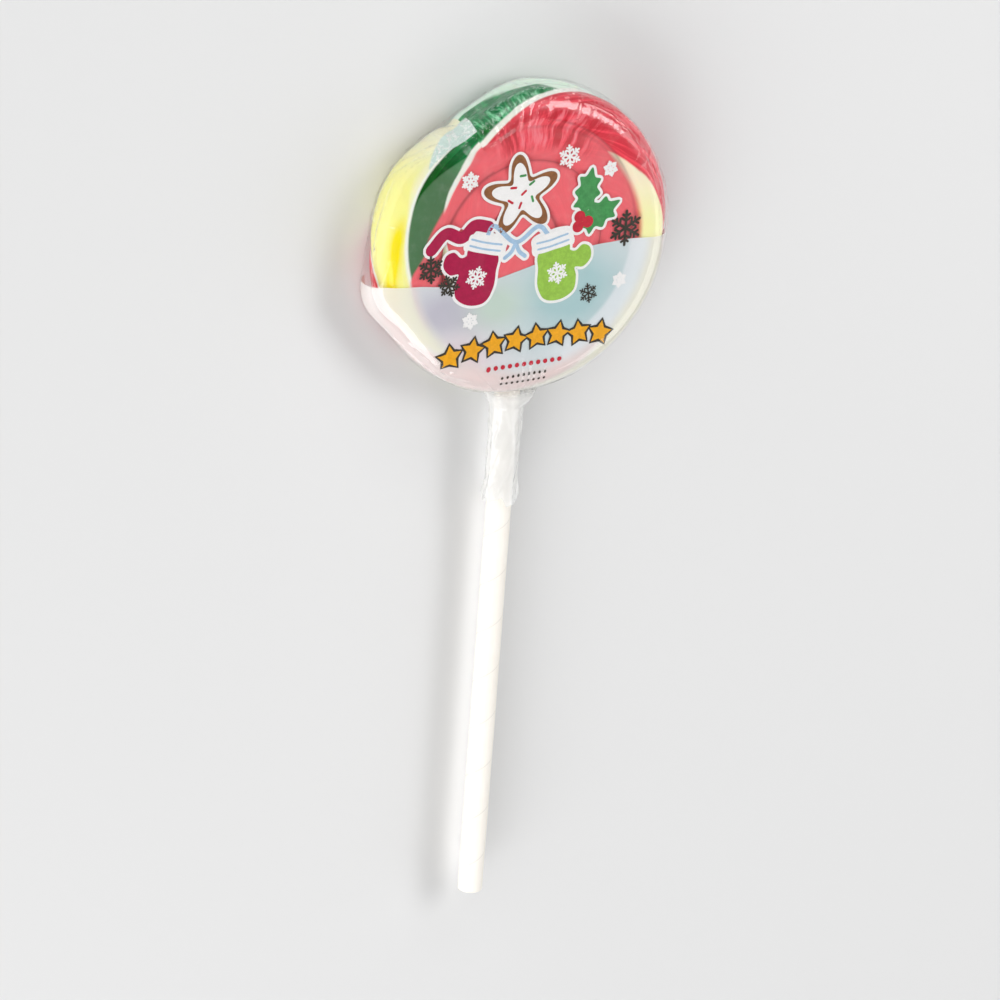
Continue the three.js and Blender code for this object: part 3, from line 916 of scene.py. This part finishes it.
def make_stick():
    sides = STICK_SIDES
    rings = []
    bottom = STICK_TOP - STICK_LENGTH
    a = -np.linspace(0, 2 * math.pi, sides, endpoint=False)
    stations = [(r, bottom + y) for r, y in STICK_PROFILE]
    stations += [(STICK_RADIUS, y) for y in np.linspace(bottom + 1.2, STICK_TOP - 1.2, 120)]
    stations += [(r, STICK_TOP - y) for r, y in reversed(STICK_PROFILE)]
    for r, y in stations:
        wander = STICK_UNEVEN * np.sin(3 * a + 0.35 * y) if r == STICK_RADIUS else 0
        radius = r - STICK_UNEVEN + wander
        rings.append(np.stack([radius * np.cos(a), np.full(sides, y), MIDDLE + radius * np.sin(a)], axis=1))
    rings = np.array(rings)
    faces = [*grid_faces(len(rings), sides)[:, ::-1]]
    count = len(rings) * sides
    faces += fan(count, np.arange(sides), flip=True)
    faces += fan(count + 1, count - sides + np.arange(sides))
    middles = [(0, bottom + 0.16, MIDDLE), (0, STICK_TOP - 0.1, MIDDLE)]
    everything = np.concatenate([rings.reshape(-1, 3), middles])
    stick = add_piece("paper_stick", everything, faces, paper_material())
    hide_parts("stick")


# ---- print on the inner side of the film
SNOW_TO = -3.2  # the print ends past the middle of the rim
SNOW_ANGLES = (-168.6, -1.3)
SNOW_COLUMNS, SNOW_ROWS = 360, 60
SEARCH_STEPS = 40
SNOW_LINE = [
    (-28, -5.4), (-21.4, -5.1), (-14, -6.0), (-7.2, -5.4), (0, -3.5), (7.5, -1.3), (13, -0.8), (19.4, -0.3),
    (24.3, -0.5), (28, -0.6),
]


def snow_line(x):
    xs, ys = zip(*SNOW_LINE)
    return np.mean([np.interp(x + off, xs, ys) for off in np.linspace(-2, 2, 9)], axis=0)


def make_snow():
    columns, rows = SNOW_COLUMNS, SNOW_ROWS
    angle = np.linspace(*SNOW_ANGLES, columns)
    low = np.full(columns, 0.5)
    high = RIM_ARC + outline_radius(angle) - RIM_REACH - 0.1
    for _ in range(SEARCH_STEPS):
        middle = (low + high) / 2
        point = front_point(angle, middle, INK_GROW)
        over = point[:, 1] > snow_line(point[:, 0])
        high = np.where(over, middle, high)
        low = np.where(over, low, middle)
    share = np.linspace(0, 1, rows)[:, None]
    distance = mix(low[None, :], SNOW_TO, share)
    points = front_point(angle[None, :] + 0 * share, distance, INK_GROW)
    faces = grid_faces(rows, columns, closed=False)
    add_piece("print_snow", points.reshape(-1, 3), faces, snow_material())


def spline(a, b, c, d, t):
    """Points from b to c on a smooth curve through all four."""
    return 0.5 * (2 * b + (c - a) * t + (2 * a - 5 * b + 4 * c - d) * t**2 + (3 * b - a - 3 * c + d) * t**3)


def rounded(points, steps=8):
    """A smooth closed outline through the points."""
    p = np.asarray(points, dtype=float)
    corners = (np.roll(p, by, 0)[:, None, :] for by in (1, 0, -1, -2))
    return spline(*corners, (np.arange(steps) / steps)[None, :, None]).reshape(-1, 2)


def placed(outline, at, scale=1.0, turn=0.0, mirror=False):
    p = np.asarray(outline, dtype=float) * scale
    if mirror:
        p = p * (-1, 1)
    c, s = math.cos(math.radians(turn)), math.sin(math.radians(turn))
    return np.stack([p[:, 0] * c - p[:, 1] * s + at[0], p[:, 0] * s + p[:, 1] * c + at[1]], axis=1)


def disc(radius, count=20):
    a = np.linspace(0, 2 * math.pi, count, endpoint=False)
    return np.stack([radius * np.cos(a), radius * np.sin(a)], axis=1)


def star(outer, inner, tips=5):
    a = math.pi / 2 + np.arange(2 * tips) * math.pi / tips
    r = np.where(np.arange(2 * tips) % 2 == 0, outer, inner)
    return np.stack([r * np.cos(a), r * np.sin(a)], axis=1)


def soft_star(outer, inner, tips=5):
    """A star with rounded points, like one cut out of dough."""
    a = math.pi / 2 + np.linspace(0, 2 * math.pi, 160, endpoint=False)
    wave = 0.5 + 0.5 * np.cos(tips * (a - math.pi / 2))
    r = inner + (outer - inner) * wave**1.25
    return np.stack([r * np.cos(a), r * np.sin(a)], axis=1)


def anticlockwise(outline):
    p = np.asarray(outline, dtype=float)
    doubled = np.sum(p[:, 0] * np.roll(p[:, 1], -1) - np.roll(p[:, 0], -1) * p[:, 1])
    return p if doubled > 0 else p[::-1]


def widened(outline, by):
    """The outline moved outward."""
    p = anticlockwise(outline)
    along = np.roll(p, -1, 0) - np.roll(p, 1, 0)
    along /= np.linalg.norm(along, axis=1)[:, None]
    return p + np.stack([along[:, 1], -along[:, 0]], axis=1) * by


def stroke(path, width):
    """A line of that width with round ends."""
    p = np.asarray(path, dtype=float)
    along = np.gradient(p, axis=0)
    along /= np.linalg.norm(along, axis=1)[:, None]
    across = np.stack([-along[:, 1], along[:, 0]], axis=1) * width / 2
    turn = np.linspace(0, math.pi, 7)[1:-1, None]
    end = p[-1] + across[-1] * -np.cos(turn) + along[-1] * np.sin(turn) * width / 2
    start = p[0] + across[0] * np.cos(turn) - along[0] * np.sin(turn) * width / 2
    return np.concatenate([p - across, end, (p + across)[::-1], start])


def bent(points, steps=12):
    """A smooth open path through the points."""
    p = np.asarray(points, dtype=float)
    p = np.concatenate([[2 * p[0] - p[1]], p, [2 * p[-1] - p[-2]]])
    t = (np.arange(steps) / steps)[:, None]
    pieces = [spline(*p[i - 1:i + 3], t) for i in range(1, len(p) - 2)]
    return np.concatenate([*pieces, p[-2:-1]])


def snowflake(size, width):
    """Outlines of a six-armed snow crystal."""
    shapes = []
    for arm in range(6):
        shapes.append(placed(stroke([(0, 0), (0, size * 0.5), (0, size)], width), (0, 0), turn=60 * arm))
        for up, reach in ((0.42, 0.30), (0.68, 0.22)):
            for way in (-1, 1):
                twig = [(way * size * reach * t, size * (up + 0.6 * reach * t)) for t in (0, 0.5, 1)]
                shapes.append(placed(stroke(twig, width * 0.85), (0, 0), turn=60 * arm))
    return shapes


INK_SPACING = 0.36


def print_shapes(name, outlines, layer, material):
    """The union of the outlines, laid on the film's inner side in triangles small enough to follow it."""
    points, edges, faces = [], [], []
    for outline in outlines:
        first, count = len(points), len(outline)
        points += [tuple(p) for p in anticlockwise(outline)]
        edges += [(first + i, first + (i + 1) % count) for i in range(count)]
        faces.append(list(range(first, first + count)))
    low, high = np.min(points, 0), np.max(points, 0)
    xs, ys = (np.arange(low[i], high[i], INK_SPACING) for i in (0, 1))
    filling = [(x, y) for x in xs for y in ys]
    made = delaunay_2d_cdt([Vector(p) for p in points + filling], edges, faces, 1, 1e-5)
    flat = np.array([tuple(v) for v in made[0]])
    triangles = np.array([face for face, inside in zip(made[2], made[5]) if inside])
    (x0, y0), (x1, y1), (x2, y2) = flat[triangles].transpose(1, 2, 0)
    clockwise = (x1 - x0) * (y2 - y0) - (y1 - y0) * (x2 - x0) <= 0
    triangles[clockwise] = triangles[clockwise, ::-1]
    angle = np.degrees(np.arctan2(flat[:, 1], flat[:, 0]))
    distance = RIM_ARC + outline_radius(angle) - RIM_REACH - np.hypot(flat[:, 0], flat[:, 1])
    laid = front_point(angle, distance, INK_GROW + INK_STEP * layer)
    used, triangles = used_only(len(flat), triangles)
    add_piece(name, laid[used], triangles, material)


MITTEN = rounded([
    (-2.3, 3.2), (-3.0, 0.5), (-3.4, -2.2), (-2.5, -4.5), (0, -5.3), (2.4, -4.5), (3.1, -2.4), (3.1, -0.9),
    (4.5, -1.2), (5.9, -0.2), (6.0, 1.5), (4.9, 2.3), (3.6, 1.7), (2.7, 2.1), (2.3, 3.2),
])
CUFF = rounded([
    (-2.9, 3.1), (-3.1, 4.3), (-2.8, 5.5), (0, 5.8), (2.8, 5.5), (3.1, 4.3), (2.9, 3.1), (0, 2.9),
])
HALF_LEAF = [(1.0, -3.2), (2.3, -3.0), (1.7, -1.5), (2.6, -0.3), (1.7, 0.9), (2.1, 2.4), (0.9, 2.7)]
LEAF = rounded([(0, -4.4), *HALF_LEAF, (0, 4.4), *((-x, y) for x, y in reversed(HALF_LEAF))], steps=6)
INKS = {  # linear colour, and how much darker its grain is
    "white": ((0.93, 0.91, 0.90), 0.05),
    "crimson": ((0.47, 0.006, 0.07), 0.2),
    "leaf": ((0.07, 0.34, 0.10), 0.25),
    "lime": ((0.36, 0.62, 0.08), 0.2),
    "dough": ((0.33, 0.13, 0.045), 0.35),
    "blue": ((0.42, 0.60, 0.80), 0.15),
    "dark": ((0.05, 0.042, 0.03), 0.3),
    "orange": ((0.93, 0.43, 0.01), 0.15),
    "red": ((0.62, 0.02, 0.045), 0.15),
}
HANDS = [
    dict(at=(-10.2, -3.6), scale=1.12, turn=-14, mirror=True),
    dict(at=(4.6, -4.2), scale=1.12, turn=12),
]
COOKIE = dict(at=(-3.0, 9.2), turn=8)
BOW_AT = (-3.4, 1.0)
LEAVES = [((12.0, 4.6), 1.0, -62), ((9.6, 8.8), 0.95, -8)]
BERRIES = [(8.4, 4.4), (10.0, 3.4), (8.2, 2.7)]
SPRINKLES = [(-4.6, 10.6), (-1.2, 11.2), (-3.1, 7.4), (-0.9, 8.4), (-5.0, 8.2), (-3.0, 12.6), (-2.6, 9.6)]
EDGING = 0.5
# Snow crystals: (middle, length of an arm, width of its line, turn)
MITTEN_FLAKES = [((-10.4, -4.6), 1.9, 0.36, -14), ((4.9, -5.2), 1.9, 0.36, 12)]
DARK_FLAKES = [
    ((-19.0, -2.4), 2.3, 0.42, 5), ((-15.4, -5.6), 1.9, 0.36, 20), ((17.4, 1.6), 3.0, 0.5, 0),
    ((11.2, -9.4), 1.7, 0.26, 10),
]
PALE_FLAKES = [
    ((5.6, 15.2), 2.0, 0.38, 8), ((-12.8, 12.4), 1.6, 0.38, 0), ((13.6, 12.4), 1.3, 0.38, 15),
    ((-11.0, -12.2), 1.4, 0.38, 10), ((17.0, -7.6), 1.3, 0.38, 0),
]
STARS = 8


def flakes(places):
    return [placed(shape, at, turn=turn) for at, *look, turn in places for shape in snowflake(*look)]


def line(points, width):
    return stroke(bent(points), width)


def star_places():
    """A slightly curved row, each star tipped the other way from the last."""
    places = []
    for i in range(STARS):
        x = -14.2 + 28.2 * i / (STARS - 1)
        places.append(dict(at=(x, -17.1 + 1.6 * i / (STARS - 1) - 0.006 * x * x), turn=9 * (-1) ** i))
    return places


def make_print():
    mittens = [placed(MITTEN, **hand) for hand in HANDS]
    cuffs = [placed(CUFF, **hand) for hand in HANDS]
    stripes = [line([(-2.6, up), (0, up - 0.15), (2.6, up)], 0.3) for up in (3.75, 4.75)]
    trims = [placed(stripe, **hand) for hand in HANDS for stripe in stripes]
    cookie, icing = placed(soft_star(7.2, 3.5), **COOKIE), placed(soft_star(5.7, 2.7), **COOKIE)
    cord = line([(-9.0, 2.2), (-7.6, 4.2), (-3.4, 1.0), (0.6, 3.4), (2.8, 1.6)], 0.8)
    loop = line([(0, 0), (1.4, 1.5), (3.0, 1.4), (3.0, 0.1), (1.4, -0.2), (0, 0)], 0.7)
    tail = line([(0, 0), (0.7, -1.6), (1.9, -2.6)], 0.7)
    bow = [placed(shape, BOW_AT, mirror=mirror) for shape in (loop, tail) for mirror in (False, True)]
    ribbon = line([(-19.2, 1.0), (-16.6, 3.6), (-13.6, 2.7), (-11.4, 4.6), (-8.8, 4.2)], 2.1)
    leaves = [placed(LEAF, *place) for place in LEAVES]
    berries = [placed(disc(1.05), at) for at in BERRIES]
    die_cut = [mittens[0], cuffs[0], mittens[1], cuffs[1], cookie, cord, ribbon, *bow, *leaves, *berries]
    grain = stroke([(-0.45, 0), (0, 0), (0.45, 0)], 0.42)
    sprinkles = [placed(grain, at, turn=37 * i) for i, at in enumerate(SPRINKLES)]
    star_edge = widened(star(2.25, 1.15), 0.42)
    dots = [placed(disc(0.42, 14), (x, -20.95 + 0.04 * x)) for x in np.linspace(-6.8, 6.6, 11)]
    speck = disc(0.24, 10)
    specks = [placed(speck, (x, y + 0.05 * x)) for y in (-22.7, -23.8) for x in np.linspace(-4.0, 4.0, 9)]

    inks = {name: ink_material(f"ink_{name}", *look) for name, look in INKS.items()}
    for name, outlines, layer, ink in (
        ("print_edging", [widened(shape, EDGING) for shape in die_cut], 1, "white"),
        ("print_ribbon", [ribbon], 2, "crimson"),
        ("print_cord", [cord, *bow], 2, "blue"),
        ("print_mitten_left", mittens[:1], 2, "crimson"),
        ("print_mitten_right", mittens[1:], 2, "lime"),
        ("print_leaves", leaves, 2, "leaf"),
        ("print_berries", berries, 3, "red"),
        ("print_cookie", [cookie], 2, "dough"),
        ("print_icing", [icing], 3, "white"),
        ("print_cuffs", cuffs, 3, "white"),
        ("print_sprinkles_red", sprinkles[::2], 4, "red"),
        ("print_sprinkles_green", sprinkles[1::2], 4, "leaf"),
        ("print_cuff_lines", trims, 4, "blue"),
        ("print_mitten_flakes", flakes(MITTEN_FLAKES), 3, "white"),
        ("print_flakes", flakes(DARK_FLAKES), 3, "dark"),
        ("print_pale_flakes", flakes(PALE_FLAKES), 3, "white"),
        ("print_star_edges", [placed(star_edge, **place) for place in star_places()], 3, "dark"),
        ("print_stars", [placed(star(2.15, 1.08), **place) for place in star_places()], 4, "orange"),
        ("print_red_dots", dots, 3, "red"),
        ("print_dark_dots", specks, 3, "dark"),
    ):
        print_shapes(name, outlines, layer, inks[ink])


# ---- floor, light and camera
FLOOR_HALF = 2.5


def make_floor():
    mesh = bpy.data.meshes.new("floor")
    corners = [(x * FLOOR_HALF, y * FLOOR_HALF, 0) for x, y in ((-1, -1), (1, -1), (1, 1), (-1, 1))]
    mesh.from_pydata(corners, [], [(0, 1, 2, 3)])
    floor = add_object("floor", mesh)
    material, tree = new_material("floor_white")
    principled(tree, (0.74, 0.74, 0.74, 1), 0.7, 0.2)
    mesh.materials.append(material)


SOFTBOXES = [  # name, direction, distance, width, height, radiance, and whether surfaces mirror it
    ("softbox_left", (-0.80, 0.20, 0.52), 1.0, 1.8, 1.3, 1.45, False),
    ("softbox_right", (0.6, 0.36, 0.74), 0.9, 0.6, 0.3, 6.2, True),
    ("softbox_right_low", (0.85, -0.25, 0.5), 0.9, 0.8, 0.5, 2.0, True),
    ("softbox_top", (0.15, 1.0, 0.55), 0.7, 0.6, 0.15, 3.2, True),
    ("softbox_low", (-0.62, -0.85, 0.48), 0.8, 0.9, 0.4, 4.2, True),
]
LIGHT_AIM = Vector((0, -0.02, 0))


def softbox(name, direction, distance, width, height, radiance, mirrored):
    """A rectangular light that faces the object."""
    data = bpy.data.lights.new(name, "AREA")
    data.shape = "RECTANGLE"
    data.size, data.size_y = width, height
    data.energy = radiance * math.pi * width * height
    light = add_object(name, data)
    way = Vector(direction).normalized()
    light.location = LIGHT_AIM + way * distance
    light.rotation_mode = "QUATERNION"
    light.rotation_quaternion = (-way).to_track_quat("-Z", "Y")
    light.visible_glossy = mirrored


CAMERA_WAY = Vector((-0.460, 0.317, 0.829))
CAMERA_DISTANCE = 0.867
CAMERA_LENS = 186
CAMERA_ROLL = 4.3
CAMERA_AIM = Vector((0, -0.0475, 0.006))


def make_camera():
    data = bpy.data.cameras.new("camera")
    data.lens = CAMERA_LENS
    data.clip_start, data.clip_end = 0.01, 20
    camera = add_object("camera", data)
    place = Vector((0, 0, MIDDLE * MM)) + CAMERA_WAY.normalized() * CAMERA_DISTANCE
    back = (place - CAMERA_AIM).normalized()
    right = Vector((0, 1, 0)).cross(back).normalized()
    up = back.cross(right)
    roll = math.radians(CAMERA_ROLL)
    tilted = right * math.cos(roll) + up * math.sin(roll)
    up = back.cross(tilted)
    camera.matrix_world = Matrix.Translation(place) @ Matrix((tilted, up, back)).transposed().to_4x4()
    bpy.context.scene.camera = camera


def make_light():
    world = bpy.data.worlds.new("studio")
    world.use_nodes = True
    tree = world.node_tree
    where = tree.nodes.new("ShaderNodeTexCoord").outputs["Generated"]
    up = Field(add_node(tree, "SeparateXYZ", {0: where}).outputs[2])
    low = 1 - larger(up, 0.0)
    tree.links.new((0.20 + low * low).socket, tree.nodes["Background"].inputs["Strength"])
    bpy.context.scene.world = world
    for box in SOFTBOXES:
        softbox(*box)
    view = bpy.context.scene.view_settings
    view.view_transform = "Standard"
    view.exposure = 0
    view.gamma = 1


make_candy()
make_film()
make_stick()
make_snow()
make_print()
make_floor()
make_light()
make_camera()
